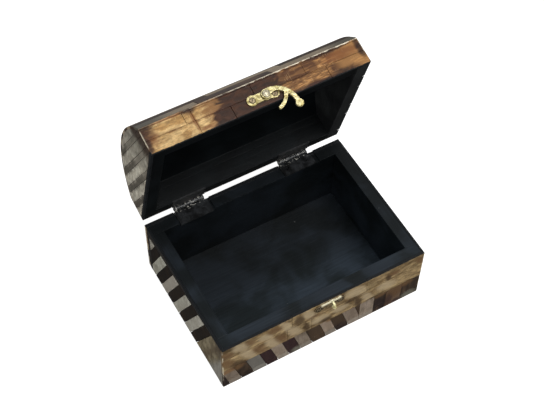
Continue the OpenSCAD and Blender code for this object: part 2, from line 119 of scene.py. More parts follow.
# ---- material helpers ----

def srgb(red, green, blue):
    """A colour given as it looks on screen, 0 to 255, as linear light."""
    def linear(value):
        value /= 255
        return value / 12.92 if value <= 0.04045 else ((value + 0.055) / 1.055) ** 2.4
    return (linear(red), linear(green), linear(blue), 1)


class Paint:
    """Builds one material; each call returns the output it makes."""

    def __init__(self, name):
        self.material = bpy.data.materials.new(name)
        self.material.use_nodes = True
        self.tree = self.material.node_tree
        self.shader = self.tree.nodes["Principled BSDF"]

    @cached_property
    def place(self):
        """Where each point is on the closed box."""
        return self.attribute("place")

    @cached_property
    def grain(self):
        """The same with x along the grain, and shifted at random for each solid."""
        return self.attribute("grain")

    @cached_property
    def tint(self):
        """Random amounts, the same all over one solid."""
        return self.axes(self.attribute("tile"))

    def put(self, socket, value):
        if isinstance(value, bpy.types.NodeSocket):
            self.tree.links.new(value, socket)
        else:
            socket.default_value = value

    def node(self, kind, inputs, **settings):
        made = self.tree.nodes.new(kind)
        for key, value in settings.items():
            setattr(made, key, value)
        for key, value in inputs.items():
            self.put(made.inputs[key], value)
        return made

    def attribute(self, name):
        return self.node("ShaderNodeAttribute", {}, attribute_name=name).outputs["Vector"]

    def amount(self, name):
        return self.node("ShaderNodeAttribute", {}, attribute_name=name).outputs["Fac"]

    def axes(self, vector):
        return self.node("ShaderNodeSeparateXYZ", {0: vector}).outputs

    def stretched(self, vector, sizes_mm):
        """Coordinates in which one unit is the given size along each axis."""
        scale = tuple(1 / (size * MM) for size in sizes_mm)
        return self.node("ShaderNodeVectorMath", {0: vector, 1: scale},
                         operation="MULTIPLY").outputs[0]

    def noise(self, vector, sizes_mm, detail=2.0, distortion=0.0):
        made = self.node("ShaderNodeTexNoise",
                         {"Vector": self.stretched(vector, sizes_mm), "Scale": 1.0,
                          "Detail": detail, "Distortion": distortion})
        return made.outputs["Fac"]

    def math(self, operation, first, second=0.0, clamp=False):
        return self.node("ShaderNodeMath", {0: first, 1: second}, operation=operation,
                         use_clamp=clamp).outputs[0]

    def plus(self, first, second):
        return self.math("ADD", first, second)

    def minus(self, first, second):
        return self.math("SUBTRACT", first, second)

    def times(self, first, second):
        return self.math("MULTIPLY", first, second)

    def larger(self, first, second):
        return self.math("MAXIMUM", first, second)

    def absolute(self, value):
        return self.math("ABSOLUTE", value)

    def squares(self, first, second):
        """The sum of two squares."""
        return self.plus(self.times(first, first), self.times(second, second))

    def step(self, value, low, high):
        """0 below low, 1 above high, smooth between; low may be the larger."""
        return self.node("ShaderNodeMapRange",
                         {"Value": value, "From Min": low, "From Max": high},
                         interpolation_type="SMOOTHSTEP").outputs["Result"]

    def span(self, value, low, high):
        """A 0 to 1 value brought to the range from low to high."""
        return self.node("ShaderNodeMapRange",
                         {"Value": value, "To Min": low, "To Max": high}).outputs["Result"]

    def blend(self, amount, first, second):
        made = self.tree.nodes.new("ShaderNodeMix")
        made.data_type = "RGBA"
        self.put(made.inputs[0], amount)
        self.put(made.inputs[6], first)
        self.put(made.inputs[7], second)
        return made.outputs[2]

    def over(self, colour, mask, strength, tone):
        """A colour with a tone laid over it where the mask is 1, as strongly as given."""
        return self.blend(self.times(mask, strength), colour, tone)

    def shaded(self, colour, amount, low, high):
        """A colour times a factor: low where the amount is 0, high where it is 1."""
        made = self.node("ShaderNodeVectorMath",
                         {0: colour, "Scale": self.span(amount, low, high)}, operation="SCALE")
        return made.outputs[0]

    def bump(self, height, depth_mm, normal=None):
        inputs = {"Height": height, "Distance": depth_mm * MM, "Strength": 1.0}
        if normal is not None:
            inputs["Normal"] = normal
        return self.node("ShaderNodeBump", inputs).outputs["Normal"]

    def dots(self, vector, spacing_mm, radius_mm, share):
        """Scattered round specks: 1 on a speck, 0 elsewhere."""
        made = self.node("ShaderNodeTexVoronoi",
                         {"Vector": self.stretched(vector, (spacing_mm,) * 3), "Scale": 1.0})
        near = self.step(made.outputs["Distance"], radius_mm / spacing_mm,
                         0.6 * radius_mm / spacing_mm)
        chosen = self.step(self.axes(made.outputs["Color"])[0], 1 - share, 1 - share + 0.01)
        return self.times(near, chosen)

    def finish(self, colour, roughness, normal, metallic=0.0, specular=0.5):
        self.put(self.shader.inputs["Base Color"], colour)
        self.put(self.shader.inputs["Roughness"], roughness)
        self.put(self.shader.inputs["Normal"], normal)
        self.shader.inputs["Metallic"].default_value = metallic
        self.shader.inputs["Specular IOR Level"].default_value = specular
        return self.material


def spots(paint, marks, ragged, lean=0.0):
    """Soft-edged marks, 0 to 1: each is its middle (x, z) and its reach in x and z, in mm.
    All lean by the same amount, in mm of x for each mm downwards."""
    x, _, z = paint.axes(paint.place)
    total = 0.0
    for middle_x, middle_z, reach_x, reach_z in marks:
        rise = paint.minus(z, middle_z * MM)
        across = paint.minus(x, middle_x * MM)
        if lean:
            across = paint.plus(across, paint.times(rise, lean))
        far = paint.squares(paint.times(across, 1 / (reach_x * MM)),
                            paint.times(rise, 1 / (reach_z * MM)))
        total = paint.larger(paint.step(paint.plus(far, ragged), 2.0, 0.0), total)
    return total


def between(paint, value, low, high, soft):
    """1 inside a range given in mm, fading out over soft mm at either end."""
    return paint.times(paint.step(value, (low - soft) * MM, (low + soft) * MM),
                       paint.step(value, (high + soft) * MM, (high - soft) * MM))


def painted_over(paint, colour):
    """Black paint that laps over the tiles at the rims and hinges; returns colour and mask."""
    x, y, z = paint.axes(paint.place)
    off_rim = paint.absolute(paint.minus(z, RIM_Z + 0.2 * MM))
    reach = paint.span(paint.noise(paint.place, (3.5, 3.5, 3.5), 3.0), 0.1 * MM, 1.3 * MM)
    side_face = paint.step(paint.absolute(x), HALF_WIDTH - 0.8 * MM, HALF_WIDTH - 0.3 * MM)
    lid_end = paint.times(paint.step(z, RIM_Z, RIM_Z + 0.3 * MM), side_face)
    reach = paint.plus(reach, paint.times(lid_end, 2.4 * MM))
    beyond = paint.minus(off_rim, reach)
    mask = paint.step(beyond, 0.15 * MM, -0.1 * MM)
    behind = paint.times(paint.step(y, 59 * MM, 59.6 * MM),
                         paint.step(beyond, 6.5 * MM, 5.5 * MM))
    for side in ("left", "right"):
        low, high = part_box(side + "_hinge_base_leaf")
        beside = between(paint, x, low.x / MM - 3, high.x / MM + 6, 0.5)
        mask = paint.larger(mask, paint.times(beside, behind))
    return paint.blend(mask, colour, srgb(22, 24, 26)), mask


def outer_corner(paint):
    """1 on the box's upright corners, where hands rub the tiles and a painted highlight runs along the edge."""
    x, y, _ = paint.axes(paint.place)
    out_x = paint.step(paint.absolute(x), HALF_WIDTH - 1.1 * MM, HALF_WIDTH - 0.3 * MM)
    out_y = paint.step(paint.absolute(y), HALF_DEPTH - 1.1 * MM, HALF_DEPTH - 0.3 * MM)
    return paint.times(out_x, out_y)


def lined(paint, colour, dirt):
    """Dirt in the joints between tiles, and tiles rubbed light on the outer corners, with a painted highlight
    there.
    """
    corner = outer_corner(paint)
    joint = paint.math("SUBTRACT", paint.amount("edge"), corner, clamp=True)
    colour = paint.over(colour, joint, dirt, srgb(30, 23, 18))
    # Rubbed light, and a painted highlight, along the upright corners.
    worn_and_highlit = paint.times(corner, paint.step(paint.noise(paint.place, (5, 5, 9), 3.0), 0.40, 0.58))
    return paint.over(colour, worn_and_highlit, 0.7, srgb(196, 188, 166))


def mottled(paint, pale, deep, strength):
    """Bone's own colour, with clouds, streaks and pores; returns it, the streaks and the pores."""
    cloud = paint.step(paint.noise(paint.grain, (13, 6, 6), 4.0, 0.8), 0.36, 0.64)
    colour = paint.blend(cloud, pale, deep)
    streaks = paint.noise(paint.grain, (15, 0.8, 0.8), 4.0, 0.4)
    patches = paint.noise(paint.grain, (3.2, 1.7, 1.7), 4.0, 0.5)
    for shade in (streaks, patches):
        colour = paint.shaded(colour, paint.step(shade, 0.3, 0.7), 1 - strength, 1 + strength)
    pores = paint.step(paint.noise(paint.grain, (1.8, 0.3, 0.3), 1.0), 0.64, 0.74)
    colour = paint.over(colour, pores, 0.5, srgb(52, 40, 28))
    return colour, streaks, pores


def lacquered(paint, colour, streaks, pores, dirt, specular=0.25):
    """The finish that all tiles share: dirty joints, paint at the rims, clear lacquer."""
    colour = lined(paint, colour, dirt)
    colour, painted = painted_over(paint, colour)
    normal = paint.bump(streaks, 0.08)
    normal = paint.bump(paint.minus(painted, pores), 0.03, normal)
    normal = paint.bump(paint.noise(paint.place, (9, 9, 9), 2.0), 0.12, normal)
    return paint.finish(colour, paint.span(streaks, 0.26, 0.44), normal, specular=specular)


# ---- materials ----

def black_wood(name, dark, light, painted_light_back, painted_light_front, specular=0.22):
    """Brushed black paint on wood, thin on the edges, with painted light and shade: as bright at
    the back and at the front as given, and a painted pool of light on the floor's front part."""
    paint = Paint(name)
    cloud = paint.noise(paint.place, (34, 34, 34), 3.0, 0.6)
    strokes = paint.noise(paint.grain, (30, 1.1, 1.1), 3.0, 0.3)
    fibres = paint.noise(paint.grain, (9, 0.35, 0.35), 2.0)
    colour = paint.blend(paint.step(cloud, 0.35, 0.65), dark, light)
    _, y, z = paint.axes(paint.place)
    # Painted light and shade: lighter or darker from the back to the front.
    colour = paint.shaded(colour, paint.step(y, 70 * MM, -60 * MM), painted_light_back, painted_light_front)
    # Painted light: a brighter patch on the front part of the floor.
    painted_floor_light = paint.times(paint.step(y, 18 * MM, -28 * MM), paint.step(z, 6 * MM, 3.8 * MM))
    colour = paint.shaded(colour, painted_floor_light, 1.0, 2.2)
    colour = paint.shaded(colour, strokes, 0.55, 1.45)
    rubbed = paint.times(paint.amount("edge"),
                         paint.step(paint.noise(paint.place, (9, 9, 9), 3.0), 0.46, 0.62))
    colour = paint.over(colour, rubbed, 0.45, srgb(104, 102, 94))
    dust = paint.dots(paint.place, spacing_mm=9, radius_mm=0.3, share=0.12)
    colour = paint.over(colour, dust, 0.6, srgb(170, 172, 170))
    rough = paint.plus(paint.times(cloud, 0.6), paint.times(strokes, 0.4))
    normal = paint.bump(strokes, 0.14)
    normal = paint.bump(fibres, 0.03, normal)
    return paint.finish(colour, paint.span(rough, 0.36, 0.62), normal, specular=specular)


def black_hinge_metal():
    """The same black paint on the hinges, chipped to bright steel at the knuckles."""
    paint = Paint("black_painted_hinge")
    cloud = paint.noise(paint.place, (5, 5, 5), 4.0, 0.4)
    colour = paint.blend(paint.step(cloud, 0.35, 0.65), srgb(10, 11, 12), srgb(34, 36, 38))
    _, y, z = paint.axes(paint.place)
    from_pin = paint.math("SQRT", paint.squares(paint.minus(y, HINGE.y), paint.minus(z, HINGE.z)))
    knuckle = paint.step(from_pin, 6 * MM, 3.5 * MM)
    chips = paint.step(paint.noise(paint.place, (2.0, 1.3, 1.3), 3.0, 0.5), 0.60, 0.63)
    chips = paint.times(chips, paint.times(knuckle, 0.8))
    worn_edge = paint.times(paint.amount("edge"),
                            paint.step(paint.noise(paint.place, (3, 3, 3), 2.0), 0.52, 0.60))
    worn_edge = paint.times(worn_edge, paint.span(knuckle, 0.2, 0.5))
    colour = paint.blend(paint.larger(chips, worn_edge), colour, srgb(176, 174, 166))
    normal = paint.bump(cloud, 0.25)
    normal = paint.bump(paint.noise(paint.place, (0.6, 0.6, 0.6), 2.0), 0.03, normal)
    return paint.finish(colour, paint.span(cloud, 0.28, 0.5), normal, specular=0.45)


def steel_brads():
    """Dull steel with rust freckles."""
    paint = Paint("steel_brads")
    cloud = paint.noise(paint.place, (1.2, 1.2, 1.2), 4.0)
    rust = paint.step(paint.noise(paint.place, (2.5, 2.5, 2.5), 3.0), 0.55, 0.7)
    colour = paint.blend(rust, srgb(140, 142, 144), srgb(104, 70, 46))
    colour = paint.shaded(colour, cloud, 0.8, 1.15)
    return paint.finish(colour, paint.span(cloud, 0.3, 0.6), paint.bump(cloud, 0.05),
                        metallic=0.85)


def aged_brass(name, dull, bright, edge_tone, metallic=0.6, heads=(), dirt_and_shade_ring_mm=0.5, rubbed=None):
    """Cast brass, darker in every hollow from tarnish and painted shade, and in a dark circle of
    dirt and painted shade around each screw head. Where it is rubbed bright, with a painted
    highlight, is given by a tone, the height above which it is, and its range in x, when closed."""
    paint = Paint(name)
    cloud = paint.noise(paint.place, (2.4, 2.4, 2.4), 4.0, 0.5)
    fine = paint.noise(paint.place, (0.5, 0.5, 0.5), 2.0)
    colour = paint.blend(paint.step(cloud, 0.36, 0.62), dull, bright)
    # Tarnish and painted shade: darker in every hollow, as found by occlusion.
    hollow = paint.node("ShaderNodeAmbientOcclusion", {"Distance": 1.8 * MM}, samples=8)
    dirt = paint.step(hollow.outputs["AO"], 0.92, 0.45)
    x, _, z = paint.axes(paint.place)
    # Dirt and painted shade: a dark circle around each screw or rivet head.
    for middle_x, middle_z, radius in heads:
        squares = paint.squares(paint.minus(x, middle_x), paint.minus(z, middle_z))
        off_head = paint.absolute(paint.minus(paint.math("SQRT", squares), radius + 0.1 * MM))
        dirt_and_shade_ring = paint.step(off_head, (dirt_and_shade_ring_mm + 0.25) * MM, (dirt_and_shade_ring_mm - 0.25) * MM)
        dirt = paint.larger(dirt, dirt_and_shade_ring)
    # The dark tone: tarnish and dirt, with painted shade in the hollows and around the heads.
    colour = paint.over(colour, dirt, 0.9, srgb(38, 30, 14))
    # Bevelled edges take the edge tone; where it is bright, it is rubbed wear with a painted highlight.
    colour = paint.over(colour, paint.amount("edge"), 0.6, edge_tone)
    # A band rubbed bright, with a painted highlight, above a given height.
    if rubbed:
        tone, above, left, right = rubbed
        rubbed_and_highlit = paint.times(paint.step(z, above - 0.3 * MM, above + 0.3 * MM),
                            between(paint, x, left / MM, right / MM, 1))
        colour = paint.over(colour, rubbed_and_highlit, 0.9, tone)
    normal = paint.bump(cloud, 0.3)
    normal = paint.bump(fine, 0.03, normal)
    return paint.finish(colour, paint.span(cloud, 0.24, 0.42), normal, metallic=metallic)


def grey_bone(name, pale, deep, warm, streak=0.16):
    """Pale bone tiles; each tile has its own tint between the two colours and the warm one."""
    paint = Paint(name)
    colour, streaks, pores = mottled(paint, pale, deep, streak)
    colour = paint.over(colour, paint.tint[0], 0.7, warm)
    colour = paint.shaded(colour, paint.tint[1], 0.82, 1.12)
    return paint, colour, streaks, pores


def front_light_tiles():
    """The lower front band's light tiles: one grey tile, toasted and dusky ones at the right."""
    paint, colour, streaks, pores = grey_bone(
        "grey_bone_front", srgb(126, 114, 101), srgb(100, 89, 74), srgb(130, 112, 96))
    x, _, z = paint.axes(paint.place)
    lean, band_top = 0.3, 25 * MM
    along_band = paint.plus(x, paint.times(paint.minus(z, band_top), lean))
    grey = between(paint, along_band, -70.5, -57, 0.3)
    colour = paint.over(colour, grey, 0.75, srgb(90, 90, 86))
    ragged = paint.span(paint.noise(paint.place, (5, 5, 5), 4.0, 0.6), -0.8, 0.8)
    foot = paint.step(z, 9 * MM, 5 * MM)
    colour = paint.over(colour, foot, 0.3, srgb(146, 142, 132))
    colour = paint.shaded(colour, paint.step(x, -62 * MM, -72 * MM), 1.0, 0.78)
    toast = spots(paint, [(66, 19, 9, 8), (-84, 22, 8, 3), (60, 8, 3, 7), (7, 24, 5, 2)], ragged)
    colour = paint.over(colour, toast, 0.8, srgb(112, 82, 46))
    dusky = between(paint, x, 57.5, 72, 0.2)
    colour = paint.over(colour, dusky, 0.8, srgb(80, 58, 38))
    burn = spots(paint, [(60, 10, 4, 8), (-74, 24, 6, 3), (68, 3, 4, 3)], ragged)
    colour = paint.over(colour, burn, 0.75, srgb(48, 34, 34))
    return lacquered(paint, colour, streaks, pores, 0.5)


def side_light_tiles():
    """The sides' light strips, and their wide corner plank: brown, streaked, with a grey foot."""
    paint, colour, streaks, pores = grey_bone(
        "grey_bone_side", srgb(158, 158, 146), srgb(132, 130, 116), srgb(146, 138, 128))
    _, y, z = paint.axes(paint.place)
    lean, plank_edge = 0.51, -13.3 * MM
    slanted = paint.plus(y, paint.times(z, lean))
    corner = paint.step(slanted, plank_edge + 0.3 * MM, plank_edge - 0.3 * MM)
    plank = paint.blend(paint.step(paint.noise(paint.place, (9, 4, 9), 3.0, 0.8), 0.40, 0.62),
                        srgb(122, 112, 90), srgb(92, 82, 62))
    wave = paint.span(paint.noise(paint.place, (8, 8, 8), 3.0), -5 * MM, 5 * MM)
    shifted = paint.plus(slanted, wave)
    dark_streak = between(paint, shifted, -34, -27, 3)
    plank = paint.over(plank, dark_streak, 0.7, srgb(74, 62, 46))
    foot = paint.step(shifted, -37 * MM, -44 * MM)
    plank = paint.over(plank, foot, 0.85, srgb(122, 119, 112))
    top = paint.times(paint.step(z, 30 * MM, 50 * MM), paint.step(y, -48 * MM, -58 * MM))
    plank = paint.over(plank, top, 0.7, srgb(62, 52, 42))
    plank = paint.shaded(plank, paint.step(streaks, 0.3, 0.7), 0.72, 1.28)
    colour = paint.blend(corner, colour, plank)
    return lacquered(paint, colour, streaks, pores, 0.4, 0.15)


def smoky(paint, colour):
    """Both lid ends: smoke along the dark tiles in the back half, grey clouds further forward,
    and scorched at the very front."""
    tilt, pitch, dark_middle = math.radians(16), 13 * MM, 10.7 * MM
    _, y, z = paint.axes(paint.place)
    up = paint.times(paint.minus(z, RIM_Z - 1.5 * MM), math.cos(tilt))
    across = paint.plus(up, paint.times(y, -math.sin(tilt)))
    wave = paint.span(paint.noise(paint.place, (9, 9, 9), 4.0, 0.8), -4.5 * MM, 4.5 * MM)
    across = paint.plus(across, wave)
    from_band = paint.math("FLOORED_MODULO", paint.minus(across, dark_middle - pitch / 2), pitch)
    from_band = paint.absolute(paint.minus(from_band, pitch / 2))
    smoke = paint.times(paint.step(from_band, 4.4 * MM, 1.2 * MM),
                        paint.span(paint.step(y, -32 * MM, 4 * MM), 0.12, 0.85))
    colour = paint.blend(smoke, colour, srgb(60, 56, 48))
    clouds = paint.step(paint.noise(paint.place, (22, 14, 9), 4.0, 1.2), 0.40, 0.62)
    ahead = paint.times(paint.step(y, -8 * MM, -34 * MM), paint.span(clouds, 0.4, 0.85))
    colour = paint.blend(ahead, colour, srgb(88, 84, 74))
    wave = paint.span(paint.noise(paint.place, (12, 12, 5), 3.0, 0.6), -9 * MM, 9 * MM)
    burn = paint.step(paint.plus(y, wave), -40 * MM, -53 * MM)
    return paint.over(colour, burn, 0.9, srgb(50, 38, 30))


def lid_end_light_tiles():
    """The lid ends' light bands, grey brown and burnt dark towards the front."""
    paint, colour, streaks, pores = grey_bone(
        "grey_bone_lid_end", srgb(170, 166, 152), srgb(138, 132, 118), srgb(160, 150, 139), 0.26)
    return lacquered(paint, smoky(paint, colour), streaks, pores, 0.15, 0.15)


def lid_end_dark_tiles():
    """The lid ends' dark bands, only a little darker than the light ones under the smoke."""
    paint, colour, streaks, pores = grey_bone(
        "brown_horn_lid_end", srgb(150, 145, 132), srgb(118, 112, 100), srgb(136, 126, 114), 0.24)
    return lacquered(paint, smoky(paint, colour), streaks, pores, 0.15, 0.15)


def slat_bone():
    """The dome's light slats, smoked at the ends of the front one."""
    paint, colour, streaks, pores = grey_bone(
        "grey_bone_slats", srgb(150, 142, 124), srgb(112, 104, 88), srgb(150, 130, 104))
    x, y, _ = paint.axes(paint.place)
    smoke = paint.times(paint.step(y, -50 * MM, -56 * MM),
                        paint.step(paint.absolute(x), 56 * MM, 80 * MM))
    colour = paint.over(colour, smoke, 0.8, srgb(52, 54, 46))
    return lacquered(paint, colour, streaks, pores, 0.5, 0.4)


def brown_horn(name, dark, brown):
    """Dark brown horn with lighter brown clouds and streaks along the grain."""
    paint = Paint(name)
    cloud = paint.step(paint.noise(paint.grain, (20, 5, 5), 4.0, 0.8), 0.44, 0.70)
    colour = paint.over(dark, cloud, 0.6, brown)
    colour = paint.shaded(colour, paint.tint[1], 0.75, 1.2)
    streaks = paint.noise(paint.grain, (16, 0.8, 0.8), 4.0, 0.3)
    colour = paint.shaded(colour, paint.step(streaks, 0.3, 0.7), 0.7, 1.3)
    pores = paint.step(paint.noise(paint.grain, (1.8, 0.3, 0.3), 1.0), 0.68, 0.76)
    return paint, colour, streaks, pores


def front_dark_tiles():
    """The lower front band's dark tiles: wine red on the left, brown further right."""
    paint, colour, streaks, pores = brown_horn(
        "brown_horn_front", srgb(46, 36, 28), srgb(82, 64, 46))
    x = paint.axes(paint.place)[0]
    wine = between(paint, x, -58, -22, 4)
    colour = paint.over(colour, wine, 0.8, srgb(45, 28, 31))
    brown = between(paint, x, -14, 38, 4)
    colour = paint.over(colour, brown, 0.6, srgb(72, 56, 40))
    ragged = paint.span(paint.noise(paint.place, (5, 5, 5), 4.0, 0.6), -0.8, 0.8)
    black = spots(paint, [(16, 4, 8, 7), (52, 12, 7, 10), (-88, 8, 5, 9)], ragged, 0.3)
    colour = paint.over(colour, black, 0.75, srgb(34, 26, 26))
    toast = spots(paint, [(52, 24, 7, 3), (76, 23, 6, 4), (-75, 22, 5, 4)], ragged)
    colour = paint.over(colour, toast, 0.7, srgb(98, 72, 44))
    bleached = spots(paint, [(80, 3, 7, 5), (-24, 4, 5, 4)], ragged)
    colour = paint.over(colour, bleached, 0.6, srgb(116, 114, 100))
    return lacquered(paint, colour, streaks, pores, 0.4)


def plain_horn(name, dark, brown, specular=0.15):
    """Brown horn as it is, for the sides' dark strips and the dome's dark slats."""
    paint, colour, streaks, pores = brown_horn(name, dark, brown)
    return lacquered(paint, colour, streaks, pores, 0.3, specular)


def black_horn():
    """Near-black horn of the edging, with a little brown in it."""
    paint, colour, streaks, pores = brown_horn("black_horn", srgb(26, 25, 24), srgb(46, 38, 30))
    return lacquered(paint, colour, streaks, pores, 0.2, 0.2)


def burnt_bone():
    """Golden bone planks of the base, toasted in slanting brown bands."""
    paint = Paint("burnt_bone")
    colour, streaks, pores = mottled(paint, srgb(142, 121, 85), srgb(98, 78, 49), 0.28)
    x, _, z = paint.axes(paint.place)
    seam_z, lean = 41 * MM, 0.45

    upper_row = paint.step(z, seam_z - 0.5 * MM, seam_z + 0.5 * MM)
    last_plank = paint.times(paint.step(x, 36.5 * MM, 38 * MM), upper_row)
    left_end = paint.times(paint.step(x, -58 * MM, -72 * MM), upper_row)
    shade = paint.larger(paint.times(last_plank, 0.07), paint.times(left_end, 0.34))
    colour = paint.shaded(colour, shade, 1.0, 0.0)
    colour = paint.shaded(colour, paint.step(x, 40 * MM, 48 * MM), 0.98, 1.12)
    colour = paint.shaded(colour, paint.tint[1], 0.92, 1.08)

    ragged = paint.span(paint.noise(paint.grain, (7, 2.5, 2.5), 5.0, 0.8), -1.0, 1.0)
    pale = spots(paint, [(-74, 50, 6, 6), (-67, 34, 5, 9), (-52, 46, 5, 5), (-46, 33, 5, 9),
                         (-34, 47, 4, 8), (-27, 34, 5, 9), (-14, 48, 5, 8), (-4, 33, 8, 5),
                         (14, 34, 7, 4), (27, 48, 9, 7), (39, 32, 4, 7), (56, 35, 8, 6)],
                 ragged, lean)
    colour = paint.over(colour, pale, 0.7, srgb(164, 147, 117))
    toast = spots(paint, [(-65, 50, 4, 4), (-57, 33, 5, 8), (-44, 50, 6, 5), (-38, 33, 5, 8),
                          (62, 48, 6, 3), (86, 48, 3, 5), (-84, 34, 5, 9), (-85, 47, 5, 5),
                          (-8, 42, 6, 2)],
                  ragged, lean)
    colour = paint.over(colour, toast, 0.75, srgb(98, 72, 46))
    burn = spots(paint, [(-76, 27, 6, 5), (-23, 47, 4, 6), (-16, 31, 3, 8), (24, 39, 7, 2.5),
                         (1, 28, 6, 3), (30, 31, 3, 8), (57, 45, 2.5, 4), (46, 26, 8, 1.6)],
                 ragged, 0.2)
    colour = paint.over(colour, burn, 0.85, srgb(62, 46, 30))
    return lacquered(paint, colour, streaks, pores, 0.6)


def golden_bone():
    """Bone planks of the lid, golden on the left and scorched dark behind the latch."""
    paint = Paint("golden_bone")
    colour, streaks, pores = mottled(paint, srgb(200, 168, 116), srgb(158, 122, 74), 0.21)
    colour = paint.shaded(colour, paint.tint[1], 0.94, 1.06)
    x, _, z = paint.axes(paint.place)
    ragged = paint.span(paint.noise(paint.place, (6, 6, 4), 4.0, 0.8), -0.9, 0.9)
    wave = paint.span(paint.noise(paint.place, (12, 12, 5), 4.0, 0.8), -12 * MM, 12 * MM)
    shifted = paint.plus(x, wave)

    # Brown dirt along the seam of the two rows, and tan beyond the left quarter.
    off_seam = paint.absolute(paint.minus(z, RIM_Z + 10.8 * MM))
    seam_dirt = paint.times(paint.step(off_seam, 2.2 * MM, 0.3 * MM),
                            paint.step(paint.noise(paint.place, (7, 7, 7), 3.0), 0.36, 0.56))
    colour = paint.over(colour, seam_dirt, 0.7, srgb(104, 66, 32))
    tan = paint.step(shifted, -46 * MM, -36 * MM)
    colour = paint.over(colour, tan, 0.85, srgb(118, 80, 46))

    # The right part is orange, with brown burns along the grain, weaker near its end.
    right = paint.step(shifted, 12 * MM, 24 * MM)
    colour = paint.over(colour, right, 0.8, srgb(180, 132, 79))
    burn = paint.step(paint.noise(paint.grain, (13, 1.3, 1.3), 8.0, 1.6), 0.41, 0.53)
    smoke = paint.step(paint.noise(paint.place, (22, 22, 6), 3.0, 1.0), 0.40, 0.56)
    burn = paint.larger(paint.times(burn, 0.8), smoke)
    burn = paint.times(burn, paint.span(paint.step(x, 60 * MM, 70 * MM), 1.0, 0.45))
    colour = paint.over(colour, paint.times(right, burn), 0.93, srgb(70, 41, 25))

    # Fine upright scratches, and single toasted marks.
    scratches = paint.step(paint.noise(paint.place, (0.5, 0.5, 9), 3.0, 0.3), 0.60, 0.66)
    scratched = paint.step(paint.noise(paint.place, (14, 14, 8), 2.0), 0.5, 0.62)
    colour = paint.over(colour, paint.times(scratches, scratched), 0.5, srgb(206, 178, 128))
    toast = spots(paint, [(-50, 68, 1.5, 9), (-84, 70, 6, 8), (-60, 78, 20, 1.2),
                          (70, 72, 14, 4), (-44, 60, 6, 1.5)], ragged)
    colour = paint.over(colour, toast, 0.75, srgb(112, 66, 34))

    # Scorched behind the latch, reaching further left low down, and at the ends and edges.
    low = paint.step(z, 70 * MM, 67 * MM)
    edge_of_dark = paint.plus(shifted, paint.times(low, 9 * MM))
    middle = paint.times(paint.step(edge_of_dark, -31 * MM, -24 * MM),
                         paint.step(shifted, 25 * MM, 17 * MM))
    marks = spots(paint, [(-88, 76, 9, 8), (-89, 67, 4, 11), (-51, 78, 6, 3.2), (-24, 62, 9, 6),
                          (62, 78, 16, 1.8), (87, 72, 3, 9), (44, 58, 26, 2), (68, 58, 12, 3.5)],
                  ragged)
    soot = paint.blend(paint.step(paint.noise(paint.place, (9, 9, 4), 4.0, 1.0), 0.38, 0.62),
                       srgb(33, 20, 19), srgb(58, 33, 23))
    colour = paint.over(colour, paint.larger(middle, marks), 0.93, soot)

    # The upper edge is rubbed to bare pale bone and carries a painted highlight, both more so towards the right.
    chipped = paint.span(paint.noise(paint.place, (4, 4, 1.2), 4.0, 0.6), -1.6 * MM, 1.6 * MM)
    worn_and_highlit = paint.step(paint.plus(z, chipped), FASCIA_TOP - 0.9 * MM, FASCIA_TOP - 0.3 * MM)
    worn_and_highlit = paint.times(worn_and_highlit, paint.span(paint.step(x, -60 * MM, 34 * MM), 0.15, 1.0))
    colour = paint.over(colour, worn_and_highlit, 0.9, srgb(232, 222, 200))
    return lacquered(paint, colour, streaks, pores, 0.6, 0.2)


# ---- shaped pieces ----

def islands(shape):
    """The separate solids of a mesh, each as a list of its vertices."""
    shape.verts.ensure_lookup_table()
    seen = set()
    for start in shape.verts:
        if start in seen:
            continue
        group, waiting = [], [start]
        seen.add(start)
        while waiting:
            vert = waiting.pop()
            group.append(vert)
            for edge in vert.link_edges:
                other = edge.other_vert(vert)
                if other not in seen:
                    seen.add(other)
                    waiting.append(other)
        yield group


def cleaned(node):
    """A node's CAD mesh with doubled vertices joined and flat faces merged."""
    same_place, same_plane = 0.002 * MM, math.radians(0.6)
    shape = bmesh.new()
    shape.from_mesh(NODES[node].data)
    bmesh.ops.remove_doubles(shape, verts=shape.verts, dist=same_place)
    bmesh.ops.dissolve_limit(shape, angle_limit=same_plane, verts=shape.verts, edges=shape.edges)
    return shape


def screw_heads(node):
    """Middle x, middle z and radius of each screw of a node, seen on the closed box's front."""
    shape = cleaned(node)
    heads = []
    for group in islands(shape):
        low, high = closed_box([vert.co for vert in group], node)
        heads.append(((low.x + high.x) / 2, (low.z + high.z) / 2, (high.x - low.x) / 2))
    shape.free()
    return heads


def soften_edges(shape, width, segments):
    """Rounds every sharp edge; returns the new narrow faces."""
    sharp_angle = math.radians(28)
    sharp = [edge for edge in shape.edges
             if len(edge.link_faces) == 2 and edge.calc_face_angle(0) > sharp_angle]
    made = bmesh.ops.bevel(shape, geom=sharp, offset=width, segments=segments, profile=0.5,
                           affect="EDGES", clamp_overlap=True)
    return set(made["faces"])


def refined(node, name, material, slot, bevel=0.2, segments=2, along="X", lift=0.0):
    """Replaces a CAD node by the same shape with rounded edges. Its grain runs along the given
    axis, and lift is how far, in mm, each solid may stand off its exact place."""
    dice = random.Random(name)
    shape = cleaned(node)
    for group in islands(shape):
        shift = Vector((dice.uniform(-1, 1), dice.uniform(-1, 1), dice.uniform(-1, 1)))
        for vert in group:
            vert.co += shift * lift * MM
    rounded = soften_edges(shape, bevel * MM, segments)
    rounded = {face for face in rounded if face.is_valid}
    placed_piece(shape, node, name, material, slot, dice, along, rounded)


def tiled(node, name, material, slot, along="X"):
    """Replaces a node of glued tiles, which do not stand quite flush."""
    refined(node, name, material, slot, along=along, lift=0.05)


